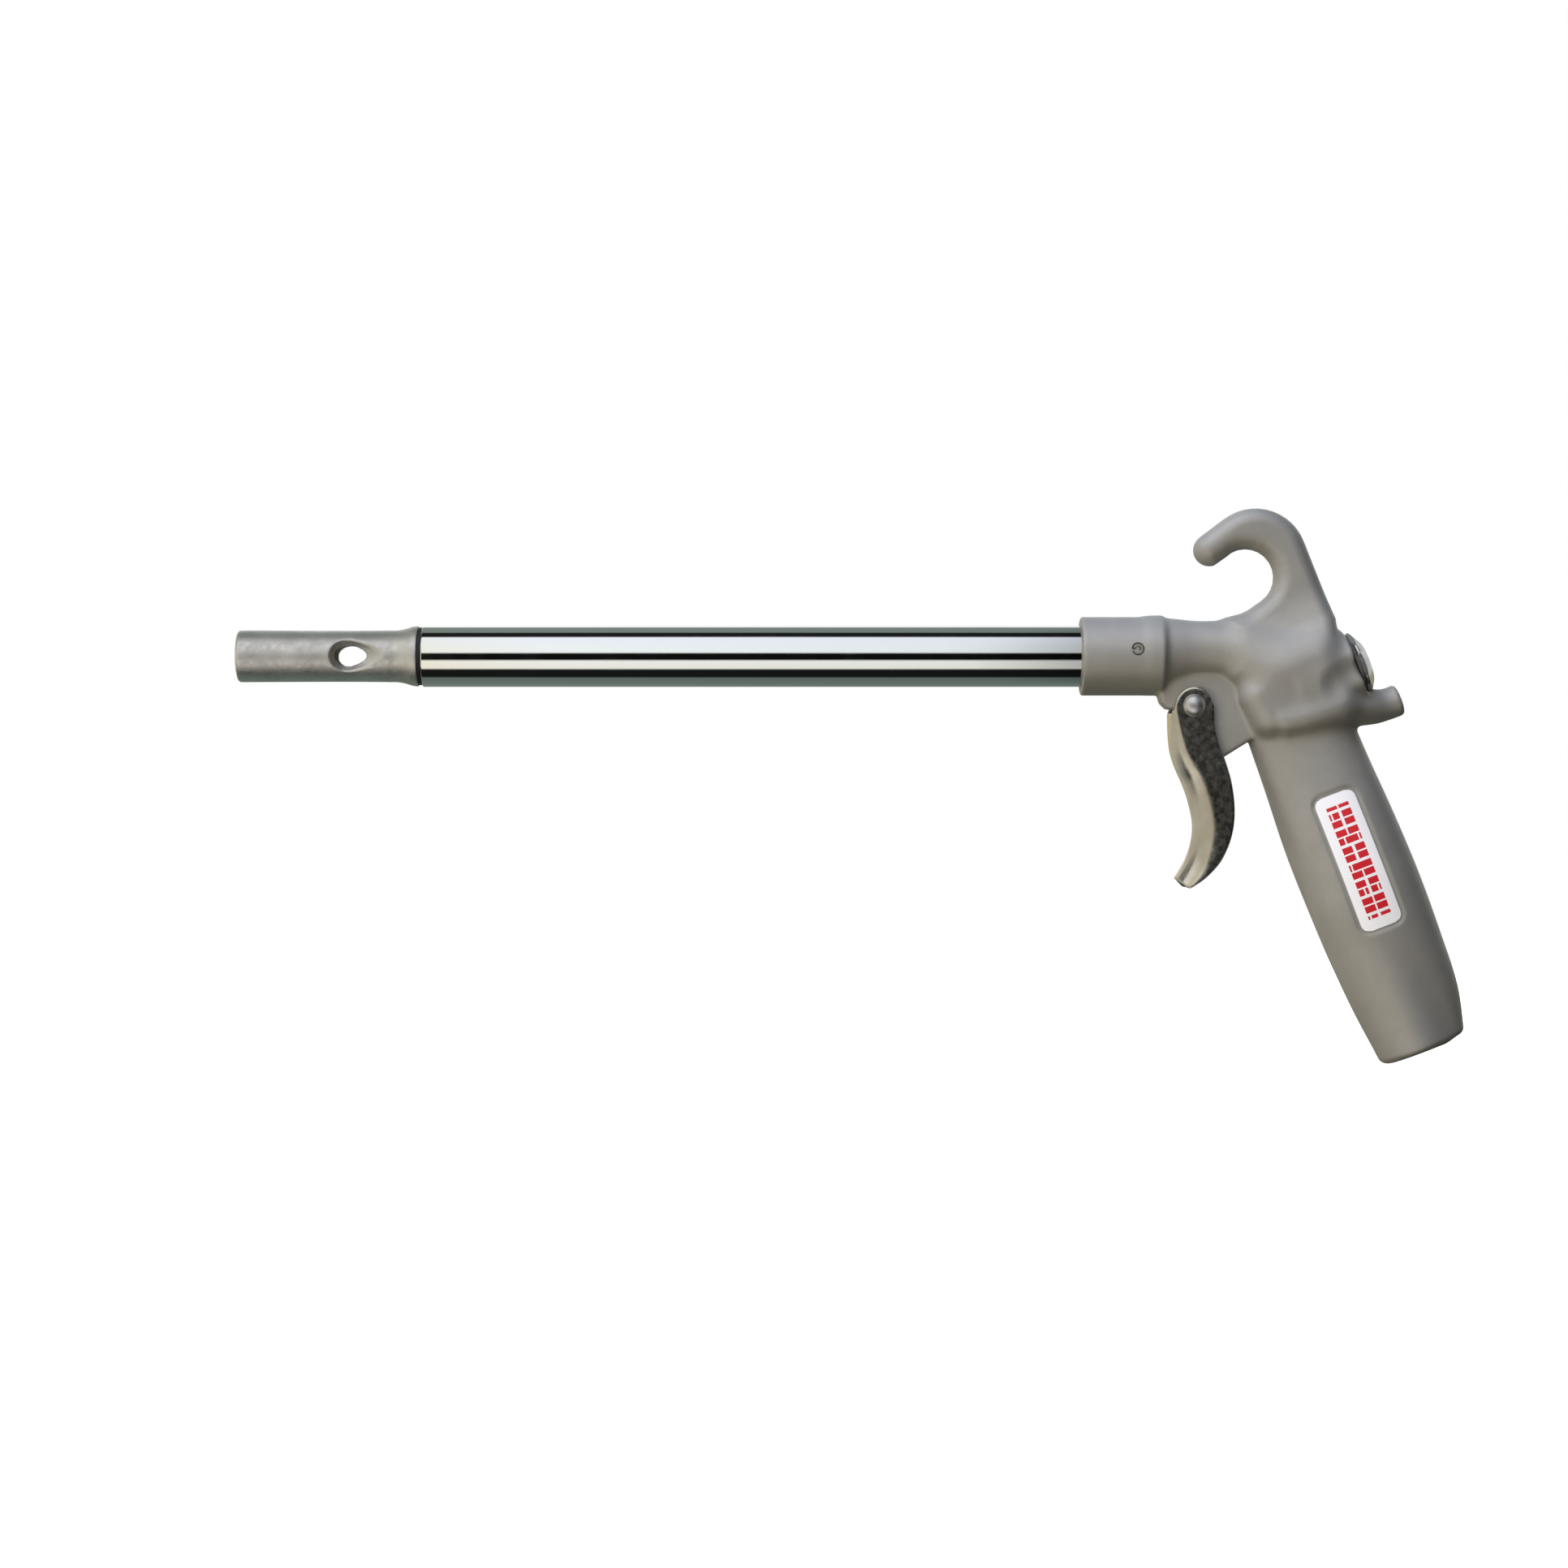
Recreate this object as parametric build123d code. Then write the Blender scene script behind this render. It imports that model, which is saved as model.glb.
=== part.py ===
from build123d import *
from math import cos, radians, sin, tan
import os

# Compressed-air blow gun with a venturi nozzle on an extension tube. Millimetres. The origin is
# the centre of the collar's front face, the tube runs from it along -X, +Z is up, and the gun is
# symmetric about the plane Y = 0. Heights in a turned piece count along its own axis.

# Clearances
RUNNING = 0.05           # radial play of a moving pin or stem
SLIP = 0.03              # radial play of a piece slipped in by hand
SIDE_PLAY = 0.4          # trigger cheek to web, each side

# Tube and collar
TUBE_OD = 14.2
TUBE_WALL = 1.4
TUBE_EXPOSED = 152.4
TUBE_SEATED = 17.0
COLLAR_WALL = 2.0
COLLAR_LENGTH = 18.4
NECK_OD = 14.0
NECK_RISE = 1.4          # the neck's centre above the tube axis
PORT_DIA = 5.0
LOCK_PIN_DIA = 3.0
LOCK_PIN_X = 12.5
LOCK_PIN_Z = 1.4
SEAL_WASHER = 1.2        # fibre washer at the bottom of the tube pocket

# Nozzle
NOZZLE_OD = 12.0
NOZZLE_LENGTH = 42.8
NOZZLE_BORE = 8.0
FLARE_LENGTH = 4.8
SHANK_LENGTH = 12.0
JOINT_RING = 0.9         # rubber ring between the tube's end and the nozzle
VENT_FROM_TIP = 26.1
VENT_BALL = 8.2
VENT_DEPTH = 3.55        # below the nozzle's surface
VENT_TAIL = 5.6
JET_DIA = 3.2
JET_LENGTH = 5.0

# Valve, on an axis raked to the tube; heights count from where the grip's axis crosses it
RAKE = 21.0
VALVE_X = 48.0
VALVE_Z = -8.2
CHAMBER_FRONT = -4.5
CHAMBER_ROOM = 1.1       # round the disc, for the air
SEAT_BORE = 7.0
SEAT_LAND = 1.4          # width of the disc's grip on the seat
PLUG_THREAD_DIA = 12.7
PLUG_THREAD_LENGTH = 7.6
PLUG_LAND = 0.8          # hexagon's flats beyond the thread, each side
PLUG_HEAD = 2.6
PLUG_END_WALL = 2.2
PLUG_SEAL = 0.8
SEAL_LAND = 1.35
BOSS_RIM = 1.3
STEM_DIA = 3.0
GUIDE_WALL = 1.25
GUIDE_LENGTH = 8.0
GUIDE_SEAL = 1.3
GATE_FRONT = -13.0       # front end of the delivery chamber
POPPET_LENGTH = 2.2
DISC_THICKNESS = 1.8
NUT_WALL = 1.25
NUT_LENGTH = 2.2
SPRING_WIRE = 0.8
SPRING_ROOM = 0.22       # between the spring and what centres it
SPRING_TURNS = 7

# Head, hook, spur and web
HEAD_SIDE = 0.4          # how far the head's side and top stand off the plug's boss
HEAD_BACK = 14.6
HEAD_LOW = -10.8
BOSS_BACK = 16.3
HOOK_HALF = 4.8
HOOK_ROUND = 3.3
HOOK_RADIUS = 6.6
HOOK_X = 38.3
HOOK_Z = 18.3
SPUR_DIA = 6.8
SPUR_END = 23.3
WEB_WALL = 1.2           # each side of the stem's guide

# Grip, round its own axis square to the valve's; the inlet is tapped 1/4 inch pipe thread
GRIP_LENGTH = 88.4
INLET_DIA = 11.2
INLET_DEPTH = 16.0
SUPPLY_DIA = 8.6
LABEL_DOWN = 41.7
LABEL_LENGTH = 32.4
LABEL_WIDTH = 9.7
LABEL_CORNER = 2.0
LABEL_THICKNESS = 0.2
LABEL_RECESS = 0.4
LABEL_MARGIN = 0.6

# Trigger, pressed from sheet and hung on a rivet
SHEET = 1.4
PIVOT_X = 25.8
PIVOT_Z = -11.5
RIVET_DIA = 3.2
RIVET_HEAD_DIA = 5.2
RIVET_HEAD = 1.5
TRIGGER_TOP_RADIUS = 4.3
TRIGGER_BEND = 2.6

# Diameters that follow from those above
COLLAR_OD = TUBE_OD + 2 * COLLAR_WALL
GUIDE_DIA = STEM_DIA + 2 * RUNNING + 2 * GUIDE_WALL
WEB_THICKNESS = GUIDE_DIA + 2 * WEB_WALL
DISC_DIA = SEAT_BORE + 2 * SEAT_LAND
CHAMBER_DIA = DISC_DIA + 2 * CHAMBER_ROOM
NUT_FLATS = STEM_DIA + 2 * NUT_WALL
SPRING_DIA = NUT_FLATS / cos(radians(30)) + 2 * SPRING_ROOM + 2 * SPRING_WIRE
SPRING_POCKET = SPRING_DIA + 2 * SPRING_ROOM
PLUG_HEX = PLUG_THREAD_DIA + 2 * PLUG_LAND
PLUG_SEAL_DIA = PLUG_THREAD_DIA + 2 * SEAL_LAND
BOSS_DIA = PLUG_SEAL_DIA + 2 * BOSS_RIM
HEAD_HALF = BOSS_DIA / 2 + HEAD_SIDE
HEAD_TOP = BOSS_DIA / 2 - HEAD_SIDE
SPUR_DROP = PLUG_SEAL_DIA / 2 + SPUR_DIA / 2 + 0.2

barrel = Plane(origin=(0, 0, 0), x_dir=(0, 0, 1), z_dir=(-1, 0, 0))
a = radians(RAKE)
valve = Plane(origin=(VALVE_X, 0, VALVE_Z), x_dir=(-sin(a), 0, cos(a)), z_dir=(cos(a), 0, sin(a)))
grip = Plane(origin=(VALVE_X, 0, VALVE_Z), x_dir=(cos(a), 0, sin(a)), z_dir=(sin(a), 0, -cos(a)))
cross = Plane(origin=(0, 0, 0), x_dir=(1, 0, 0), z_dir=(0, -1, 0))


def rod(dia, start, end):
    """A cylinder along Z from one height to another."""
    return Pos(0, 0, start) * Cylinder(dia / 2, end - start, align=(Align.CENTER, Align.CENTER, Align.MIN))


def tube(outer, inner, start, end):
    return rod(outer, start, end) - rod(inner, start, end)


def turned(*points):
    """A solid turned about Z from its half section, as (radius, height) points."""
    return revolve(Plane.XZ * make_face(Polyline(*points, close=True)), Axis.Z)


def plate(face, half):
    """A flat piece of the side view, drawn in X and Z, as thick each side of the plane Y = 0."""
    return Pos(0, half, 0) * extrude(cross * face, 2 * half)


def outline(*points):
    return make_face(Polyline(*points, close=True))


def head_point(along, up):
    """X and Z of a point given along the valve's axis and square to it."""
    return (VALVE_X + along * cos(a) - up * sin(a), VALVE_Z + along * sin(a) + up * cos(a))


def cross_pin(dia, x, z, half):
    return Pos(x, 0, z) * Rot(90, 0, 0) * rod(dia, -half, half)


# The nozzle's and tube's places along the barrel
nozzle_start = TUBE_EXPOSED + JOINT_RING
nozzle_tip = TUBE_EXPOSED + NOZZLE_LENGTH
jet_front = nozzle_tip - VENT_FROM_TIP - VENT_BALL / 2
tube_bore = TUBE_OD - 2 * TUBE_WALL
pocket_end = -(TUBE_SEATED + SEAL_WASHER)


def extension_tube():
    body = tube(TUBE_OD, tube_bore, -TUBE_SEATED, TUBE_EXPOSED)
    return barrel * body - cross_pin(LOCK_PIN_DIA, LOCK_PIN_X, LOCK_PIN_Z, TUBE_OD)


def vent():
    """The scoop of a ball cutter that sinks into the side and runs out towards the tube."""
    depth = NOZZLE_OD / 2 + VENT_BALL / 2 - VENT_DEPTH
    slope = Plane(origin=(0, depth, nozzle_tip - VENT_FROM_TIP), z_dir=(0, 0.42, -0.91))
    ball = Sphere(VENT_BALL / 2)
    return slope * (ball + rod(VENT_BALL, 0, VENT_TAIL) + Pos(0, 0, VENT_TAIL) * ball)


def safety_nozzle():
    neck = NOZZLE_OD / 2
    wide = TUBE_OD / 2
    flare_end = nozzle_start + FLARE_LENGTH
    flare = Spline(
        (wide, nozzle_start + 0.5), (neck, flare_end), tangents=[(0, 1), (0, 1)]
    )
    edge = Polyline(
        (neck, flare_end), (neck, nozzle_tip - 0.5), (neck - 0.5, nozzle_tip), (NOZZLE_BORE / 2, nozzle_tip),
        (NOZZLE_BORE / 2, TUBE_EXPOSED - SHANK_LENGTH), (tube_bore / 2 - 0.4, TUBE_EXPOSED - SHANK_LENGTH),
        (tube_bore / 2, TUBE_EXPOSED - SHANK_LENGTH + 0.8), (tube_bore / 2, nozzle_start),
        (wide - 0.3, nozzle_start), (wide, nozzle_start + 0.5),
    )
    body = revolve(Plane.XZ * make_face(flare + edge), Axis.Z)
    side = vent()
    return barrel * (body - side - mirror(side, about=Plane.XZ))


def nozzle_ring():
    return barrel * tube(TUBE_OD - 0.7, tube_bore, TUBE_EXPOSED, nozzle_start)


def jet_insert():
    throat = JET_DIA / 2
    mouth = NOZZLE_BORE / 2 - 0.8
    wall = NOZZLE_BORE / 2
    back = jet_front - JET_LENGTH
    return barrel * turned(
        (throat, jet_front), (wall, jet_front), (wall, back), (mouth, back), (throat, back + JET_LENGTH / 2)
    )


def tube_seal():
    return barrel * tube(TUBE_OD, tube_bore - 2.4, pocket_end, -TUBE_SEATED)


def tube_lock_pin():
    half = (COLLAR_OD - 1.0) / 2
    pin = cross_pin(LOCK_PIN_DIA, LOCK_PIN_X, LOCK_PIN_Z, half)
    bore = cross_pin(LOCK_PIN_DIA - 1.1, LOCK_PIN_X, LOCK_PIN_Z, half)
    slot = Pos(LOCK_PIN_X, 0, LOCK_PIN_Z - LOCK_PIN_DIA / 2) * Box(0.6, 2 * half, LOCK_PIN_DIA)
    return pin - bore - slot


# Stations along the valve's axis
web_face = GATE_FRONT - 2.4 - GUIDE_SEAL - GUIDE_LENGTH
guide_back = web_face + GUIDE_LENGTH
seal_back = guide_back + GUIDE_SEAL
stem_front = web_face - 3.1
disc_back = CHAMBER_FRONT + DISC_THICKNESS
poppet_back = disc_back + POPPET_LENGTH
nut_back = poppet_back + NUT_LENGTH
head_front = BOSS_BACK + PLUG_SEAL
plug_back = head_front + PLUG_HEAD
thread_front = head_front - PLUG_THREAD_LENGTH
pocket_back = head_front - PLUG_END_WALL


def stem_guide():
    body = tube(GUIDE_DIA, STEM_DIA + 2 * RUNNING, web_face, guide_back)
    return valve * chamfer(body.edges().group_by(Axis.Z)[0], 0.3)


def guide_seal():
    """A rubber ring squeezed between the guide and the step behind it."""
    return valve * tube(GUIDE_DIA, STEM_DIA + 2 * RUNNING, guide_back, seal_back)


def valve_stem():
    point = STEM_DIA / 2
    shaft = rod(STEM_DIA, stem_front + point, nut_back + 0.6)
    return valve * (shaft + Pos(0, 0, stem_front + point) * Sphere(point))


def seat_disc():
    return valve * tube(DISC_DIA, STEM_DIA, CHAMBER_FRONT, disc_back)


def valve_poppet():
    """The plate that backs the rubber disc and carries the spring."""
    body = tube(DISC_DIA - 0.2, STEM_DIA, disc_back, poppet_back)
    return valve * chamfer(body.edges().group_by(Axis.Z)[-1].sort_by(SortBy.RADIUS)[-1], 0.4)


def poppet_nut():
    hexagon = RegularPolygon(NUT_FLATS / 2, 6, major_radius=False)
    body = Pos(0, 0, poppet_back) * extrude(hexagon, NUT_LENGTH)
    return valve * (body - rod(STEM_DIA, poppet_back, nut_back))


def valve_spring():
    """Closed by a flat half turn at each end, as wound."""
    start = poppet_back + SPRING_WIRE / 2
    height = pocket_back - SPRING_WIRE / 2 - start
    radius = (SPRING_DIA - SPRING_WIRE) / 2
    coil = Pos(0, 0, start) * Helix(height / SPRING_TURNS, height, radius)
    section = Plane(origin=coil @ 0, z_dir=coil % 0) * Circle(SPRING_WIRE / 2)
    return valve * sweep(section, path=coil)


def valve_plug():
    hexagon = RegularPolygon(PLUG_HEX / 2, 6, major_radius=False, rotation=0)
    head = Pos(0, 0, head_front) * extrude(hexagon, PLUG_HEAD)
    corner = PLUG_SEAL_DIA / 2
    crown = turned(
        (0, head_front), (corner, head_front), (corner, head_front + 0.6), (PLUG_HEX * 0.34, plug_back), (0, plug_back)
    )
    thread = rod(PLUG_THREAD_DIA - 2 * SLIP, thread_front, head_front)
    thread = chamfer(thread.edges().group_by(Axis.Z)[0], 0.5)
    return valve * ((head & crown) + thread - rod(SPRING_POCKET, thread_front, pocket_back))


def plug_seal():
    return valve * tube(PLUG_SEAL_DIA, PLUG_THREAD_DIA + 2 * SLIP, BOSS_BACK, head_front)


def grip_solid(grow):
    """The grip as a loft of ovals, from its root inside the head to its flat end."""
    stations = [
        (0.02, -0.5, 11.6, 8.6), (0.23, -0.55, 12.55, 8.9), (0.4, -0.45, 13.25, 9.9), (0.57, -0.15, 13.4, 10.4),
        (0.74, 0.0, 13.0, 10.2), (0.88, 0.1, 12.1, 9.7), (1.0, -0.2, 10.2, 9.0),
    ]
    ovals = [
        grip * Pos(centre, 0, share * GRIP_LENGTH) * Ellipse(half_depth + grow, half_width + grow)
        for share, centre, half_depth, half_width in stations
    ]
    return loft(ovals)


def label_prism(margin):
    """A rounded rectangle on the left side, long enough to cut the grip's surface."""
    length = LABEL_LENGTH + 2 * margin
    width = LABEL_WIDTH + 2 * margin
    face = RectangleRounded(width, length, LABEL_CORNER + margin)
    side = Plane(origin=grip.from_local_coords((0, 0, LABEL_DOWN)), x_dir=grip.x_dir, z_dir=(0, -1, 0))
    return side * extrude(face, COLLAR_OD)


def grip_label():
    floor = 0.03 - LABEL_RECESS
    return label_prism(0) & (grip_solid(floor + LABEL_THICKNESS) - grip_solid(floor))


def hook_plate():
    """The hook with the slab that carries it, down into the head."""
    centre = Vector(HOOK_X, HOOK_Z)
    inner = centre + Vector(HOOK_RADIUS, 0)
    top = centre + Vector(0, HOOK_RADIUS)
    tip = (30.0, 24.7)
    tip_radius = 3.75
    back = head_point(16.1, 13.0)
    edges = [
        Spline((31.0, 8.0), (37.2, 9.3), inner, tangents=[(1, 0.03), (0, 1)]),
        ThreePointArc(inner, centre + Vector(HOOK_RADIUS, 0).rotate(Axis.Z, 45), top),
        Spline(top, (33.3, 22.3), (tip[0], tip[1] - tip_radius), tangents=[(-1, 0), (-1, -0.05)]),
        ThreePointArc(
            (tip[0], tip[1] - tip_radius), (tip[0] - tip_radius, tip[1]), (tip[0] - 2.0, tip[1] + 3.35)
        ),
        Spline(
            (tip[0] - 2.0, tip[1] + 3.35), (34.0, 32.3), (40.6, 34.25), (47.6, 31.9), head_point(16.1, 31.5),
            tangents=[(1, 0.55), (sin(a), -cos(a))],
        ),
        Polyline(head_point(16.1, 31.5), back, head_point(12.0, 2.0), head_point(-9.0, -2.0), (31.0, 0), (31.0, 8.0)),
    ]
    slab = plate(make_face(edges), HOOK_HALF)
    rim = slab.faces().filter_by(Plane.XZ).edges().filter_by_position(Axis.Z, 8.9, 40)
    return fillet(rim, HOOK_ROUND)


def head_solid():
    corners = [
        head_point(-14.5, -3.0), head_point(-13.0, 4.0), head_point(-6.0, HEAD_TOP),
        head_point(HEAD_BACK, HEAD_TOP), head_point(HEAD_BACK, HEAD_LOW), head_point(-11.5, HEAD_LOW),
    ]
    block = plate(outline(*corners), HEAD_HALF)
    block = fillet(block.edges(), 3.6)
    boss = valve * rod(BOSS_DIA, CHAMBER_FRONT, BOSS_BACK)
    spur = valve * Pos(-SPUR_DROP, 0, 0) * rod(SPUR_DIA, 0, SPUR_END)
    spur = chamfer(spur.edges().sort_by(Axis.X)[-1], 0.4)
    return block + boss + spur


def neck_solid():
    collar = barrel * Pos(0, 0, -COLLAR_LENGTH) * Cylinder(
        COLLAR_OD / 2, COLLAR_LENGTH, align=(Align.CENTER, Align.CENTER, Align.MIN)
    )
    collar = chamfer(collar.edges().sort_by(Axis.X)[0], 0.4)
    rings = [
        Plane(origin=(x, 0, z), z_dir=(1, 0, 0)) * Circle(radius)
        for x, z, radius in [
            (COLLAR_LENGTH, 0, COLLAR_OD / 2), (27.0, NECK_RISE, NECK_OD / 2), (40.0, -1.5, NECK_OD / 2 + 1.6)
        ]
    ]
    return collar + loft(rings)


def web_plate():
    """The plate under the neck: its front corner stops the trigger, and the stem runs in it."""
    front = head_point(web_face, 0)
    corners = [
        (17.4, -4.0), (18.0, -9.4), (18.8, -11.8), (20.6, -13.7), (front[0] - 1.6, -13.9),
        (front[0] + 4.0 * tan(a), front[1] + 4.0), (front[0] + 0.2, front[1] - 3.4),
        (28.6, -25.9), (39.4, -19.4), (46.0, -14.0), (44.0, -4.0),
    ]
    return plate(outline(*corners), WEB_THICKNESS / 2)


def gun_body():
    solid = neck_solid() + head_solid() + hook_plate() + web_plate() + grip_solid(0)
    bores = [
        barrel * rod(TUBE_OD + 2 * SLIP, pocket_end, 1.0),
        valve * rod(CHAMBER_DIA, CHAMBER_FRONT, thread_front),
        valve * rod(PLUG_THREAD_DIA, thread_front - 0.5, BOSS_BACK + 2.0),
        valve * rod(SEAT_BORE, GATE_FRONT, CHAMBER_FRONT + 0.5),
        valve * rod(STEM_DIA + 1.0, seal_back - 0.5, GATE_FRONT + 0.5),
        valve * rod(GUIDE_DIA, web_face - 12.0, seal_back),
        grip * rod(SUPPLY_DIA, 0, GRIP_LENGTH),
        grip * rod(INLET_DIA, GRIP_LENGTH - INLET_DEPTH, GRIP_LENGTH + 1.0),
        cross_pin(LOCK_PIN_DIA, LOCK_PIN_X, LOCK_PIN_Z, COLLAR_OD),
        cross_pin(RIVET_DIA, PIVOT_X, PIVOT_Z, COLLAR_OD),
    ]
    for bore in bores:
        solid -= bore
    # The port slopes from the upper edge of the tube pocket down into the delivery chamber
    start = Vector(0, 0, tube_bore / 2 - PORT_DIA / 2 + 0.9)
    end_x, end_z = head_point(-8.0, 2.8)
    run = Vector(end_x, 0, end_z) - start
    port = Plane(origin=start, z_dir=run) * rod(PORT_DIA, -pocket_end - 1.0, run.length)
    solid -= port
    return solid - (label_prism(LABEL_MARGIN) - grip_solid(-LABEL_RECESS))


# The trigger's front edge from its top, under the web's corner, to the tip, and its rear edge
TRIGGER_TOP_Z = -14.3
FRONT_EDGE = [(20.5, TRIGGER_TOP_Z), (20.9, -22.6), (23.5, -29.6), (25.9, -39.4), (24.6, -46.2), (21.8, -51.3)]
REAR_EDGE = [(25.2, -53.2), (31.4, -48.2), (34.9, -38.6), (34.4, -29.2), (31.6, -20.6), (30.3, TRIGGER_TOP_Z)]


def blade_side():
    """The side view below the pivot, from the front edge to the cheeks' rear edge."""
    front = Spline(*FRONT_EDGE)
    rear = Spline(*REAR_EDGE)
    return make_face([front, Line(front @ 1, rear @ 0), rear, Line(rear @ 1, front @ 0)])


def hollow_side():
    """The side view of the space behind the front sheet, open to the rear."""
    front = Spline(*[(x + SHEET, z) for x, z in FRONT_EDGE])
    rear_x = REAR_EDGE[2][0] + 5
    back = Polyline(front @ 1, (REAR_EDGE[0][0] + 4, FRONT_EDGE[-1][1] - 5), (rear_x, -48), (rear_x, TRIGGER_TOP_Z), front @ 0)
    return make_face([front, back])


def trigger():
    inner_half = WEB_THICKNESS / 2 + SIDE_PLAY
    blade = plate(blade_side(), inner_half + SHEET)
    sides = blade.edges().filter_by(Axis.Y, reverse=True)
    bends = sides.filter_by(lambda edge: edge.length > 20 and (edge @ 0.5).X < 27)
    blade = fillet(bends, TRIGGER_BEND) - plate(hollow_side(), inner_half)
    radius = TRIGGER_TOP_RADIUS
    ears = outline(
        (PIVOT_X - radius, PIVOT_Z), FRONT_EDGE[0], REAR_EDGE[-1], (PIVOT_X + radius, PIVOT_Z)
    ) + Pos(PIVOT_X, PIVOT_Z) * Circle(radius)
    ears = plate(ears, inner_half + SHEET) - plate(ears, inner_half)
    return blade + ears - cross_pin(RIVET_DIA + 2 * RUNNING, PIVOT_X, PIVOT_Z, COLLAR_OD)


def trigger_rivet():
    half = WEB_THICKNESS / 2 + SIDE_PLAY + SHEET + 0.1
    shank = cross_pin(RIVET_DIA, PIVOT_X, PIVOT_Z, half)
    radius = (RIVET_HEAD_DIA ** 2 / 4 + RIVET_HEAD ** 2) / (2 * RIVET_HEAD)
    cap = Pos(0, 0, half + RIVET_HEAD - radius) * Sphere(radius) & rod(RIVET_HEAD_DIA, half, half + 2 * RIVET_HEAD)
    left = Pos(PIVOT_X, 0, PIVOT_Z) * Rot(90, 0, 0) * cap
    return shank + left + mirror(left, about=Plane.XZ)


NODES = [
    gun_body, extension_tube, tube_lock_pin, tube_seal, safety_nozzle, nozzle_ring, jet_insert,
    trigger, trigger_rivet, stem_guide, guide_seal, valve_stem, seat_disc, valve_poppet, poppet_nut,
    valve_spring, valve_plug, plug_seal, grip_label,
]

os.makedirs("parts", exist_ok=True)
for node in NODES:
    export_step(node(), f"parts/{node.__name__}.step")
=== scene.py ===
from math import cos, pi, radians, sin

import bpy
import numpy as np
from mathutils import Matrix, Vector


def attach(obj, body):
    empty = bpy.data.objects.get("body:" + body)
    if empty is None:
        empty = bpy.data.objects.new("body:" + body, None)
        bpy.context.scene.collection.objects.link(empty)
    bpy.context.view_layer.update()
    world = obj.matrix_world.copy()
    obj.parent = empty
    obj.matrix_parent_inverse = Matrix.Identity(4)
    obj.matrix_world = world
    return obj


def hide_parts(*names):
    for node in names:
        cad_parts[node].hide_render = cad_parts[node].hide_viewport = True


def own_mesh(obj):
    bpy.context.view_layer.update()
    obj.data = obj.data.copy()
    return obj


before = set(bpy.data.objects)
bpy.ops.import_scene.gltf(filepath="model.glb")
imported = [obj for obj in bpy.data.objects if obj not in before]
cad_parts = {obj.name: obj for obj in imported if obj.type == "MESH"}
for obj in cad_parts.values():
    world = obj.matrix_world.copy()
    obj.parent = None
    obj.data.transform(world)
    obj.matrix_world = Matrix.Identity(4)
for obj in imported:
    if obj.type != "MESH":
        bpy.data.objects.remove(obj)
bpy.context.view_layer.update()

# ---------------------------------------------------------------------------------------------
# Gun body: one aluminium die casting, tumbled to a satin grey. Collar, neck, head, hook, spur,
# web and grip run into each other with the soft fillets of a casting, and only the bores are
# machined. Its form is a distance field in millimetres, skinned and then bored out.

RAKE = radians(21)
ALONG = np.array([cos(RAKE), 0, sin(RAKE)])      # the valve's axis, towards the plug
UP = np.array([-sin(RAKE), 0, cos(RAKE)])        # square to it, up through the hook
CROSSING = np.array([48.0, 0, -8.2])             # where the grip's axis crosses the valve's
COLLAR_RADIUS = 9.1
COLLAR_END = 18.4
GRIP_END = 88.25
WEB_HALF = 4.0
BOSS_BACK = 16.3
LABEL_DOWN, LABEL_HALF, LABEL_CORNER = 41.7, (4.85, 16.2), 2.0
RECESS_DEPTH, RECESS_MARGIN = 0.32, 0.75


def through(knots, at):
    """A smooth curve through (place, value) knots, read at any places."""
    place, value = np.array(knots, float).T
    slope = np.gradient(value, place)
    span = np.clip(np.searchsorted(place, at) - 1, 0, len(place) - 2)
    width = place[span + 1] - place[span]
    t = np.clip((at - place[span]) / width, 0, 1)
    ends = value[span] * (1 + 2 * t) * (1 - t) ** 2 + value[span + 1] * (3 - 2 * t) * t ** 2
    return ends + width * t * (1 - t) * (slope[span] * (1 - t) - slope[span + 1] * t)


def arc(centre, radius, start, end, steps=14):
    """Points round a circle, from one angle to another in degrees."""
    return [
        (centre[0] + radius * cos(radians(turn)), centre[1] + radius * sin(radians(turn)))
        for turn in np.linspace(start, end, steps)
    ]


def outline_distance(points, x, z):
    """Signed distance to a closed outline in the plane, negative inside it."""
    nearest = np.full(np.broadcast(x, z).shape, np.inf)
    inside = np.zeros(nearest.shape, bool)
    for (ax, az), (bx, bz) in zip(points, points[1:] + points[:1]):
        px, pz, ex, ez = x - ax, z - az, bx - ax, bz - az
        t = np.clip((px * ex + pz * ez) / (ex * ex + ez * ez + 1e-12), 0, 1)
        nearest = np.minimum(nearest, (px - ex * t) ** 2 + (pz - ez * t) ** 2)
        crosses = (az <= z) != (bz <= z)
        inside ^= crosses & (px * (bz - az) * np.sign(bz - az) < ex * pz * np.sign(bz - az))
    return np.sqrt(nearest) * np.where(inside, -1, 1)


def blend(first, second, fillet):
    """Two forms joined with a fillet of about that radius."""
    near = np.maximum(fillet - np.abs(first - second), 0) / fillet
    return np.minimum(first, second) - near * near * fillet / 4


def trim(form, cutter, fillet):
    """What of a form lies outside a cutter, with its edge broken."""
    return -blend(-form, cutter, fillet)


def slab(side, across, half, edge):
    """A plate of the given side view, half as thick each side, with its edges rounded."""
    u, v = side + edge, np.abs(across) - half + edge
    return np.minimum(np.maximum(u, v), 0) + np.hypot(np.maximum(u, 0), np.maximum(v, 0)) - edge


def round_bar(radius, off_axis, height, start, end, edge):
    return slab(off_axis - radius, height - (start + end) / 2, (end - start) / 2, edge)


def head_frame(x, z):
    """Place along the valve's axis, and square to it, of a point in the side view."""
    dx, dz = x - CROSSING[0], z - CROSSING[2]
    return dx * ALONG[0] + dz * ALONG[2], dx * UP[0] + dz * UP[2]


def head_point(along, up):
    place = CROSSING + ALONG * along + UP * up
    return (place[0], place[2])


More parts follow.
